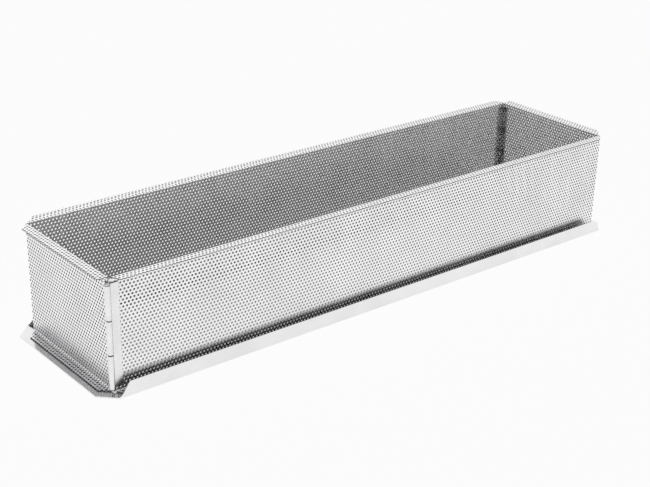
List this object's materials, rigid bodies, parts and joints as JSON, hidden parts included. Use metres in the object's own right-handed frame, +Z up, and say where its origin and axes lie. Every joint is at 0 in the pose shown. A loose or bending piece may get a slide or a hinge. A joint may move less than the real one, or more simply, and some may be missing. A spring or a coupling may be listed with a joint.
{
  "type": "hinged bread mould",
  "caption": "Long perforated sheet-steel bread mould: two L-shaped wall halves pinned at opposite corners, standing in the folded rails of a flat base.",
  "frame": {"origin": "centre of the base's underside", "axes": "+X along the mould, from the end seen on the left in the picture to the far end; +Y from the front long wall to the back one; +Z up"},
  "size_m": [0.52, 0.1364, 0.0884],
  "materials": {
    "base_sheet": "bright plain sheet",
    "wall_sheet": "perforated sheet, satin",
    "hinge_sheet": "satin",
    "pin_wire": "drawn wire"
  },
  "bodies": {
    "front_half": {"front_half_shell": "wall_sheet", "front_left_hinge_wall_leaf": "hinge_sheet", "back_right_hinge_end_leaf": "hinge_sheet"},
    "rear_half": {"rear_half_shell": "wall_sheet", "front_left_hinge_end_leaf": "hinge_sheet", "back_right_hinge_wall_leaf": "hinge_sheet"},
    "base": {"base_plate": "base_sheet"},
    "front_left_pin": {"front_left_hinge_pin": "pin_wire"},
    "back_right_pin": {"back_right_hinge_pin": "pin_wire"}
  },
  "joints": [
    {"name": "base_slide", "type": "slide", "parent": "front_half", "child": "base", "axis": [1, 0, 0], "range_m": [-0.51, 0.51]},
    {"name": "rear_half_slide", "type": "slide", "parent": "front_half", "child": "rear_half", "axis": [-1, 0, 0], "range_m": [0, 0.51]},
    {"name": "front_left_pin_pull", "type": "slide", "parent": "front_half", "child": "front_left_pin", "axis": [0, 0, 1], "range_m": [0, 0.09]},
    {"name": "back_right_pin_pull", "type": "slide", "parent": "rear_half", "child": "back_right_pin", "axis": [0, 0, 1], "range_m": [0, 0.09]}
  ]
}
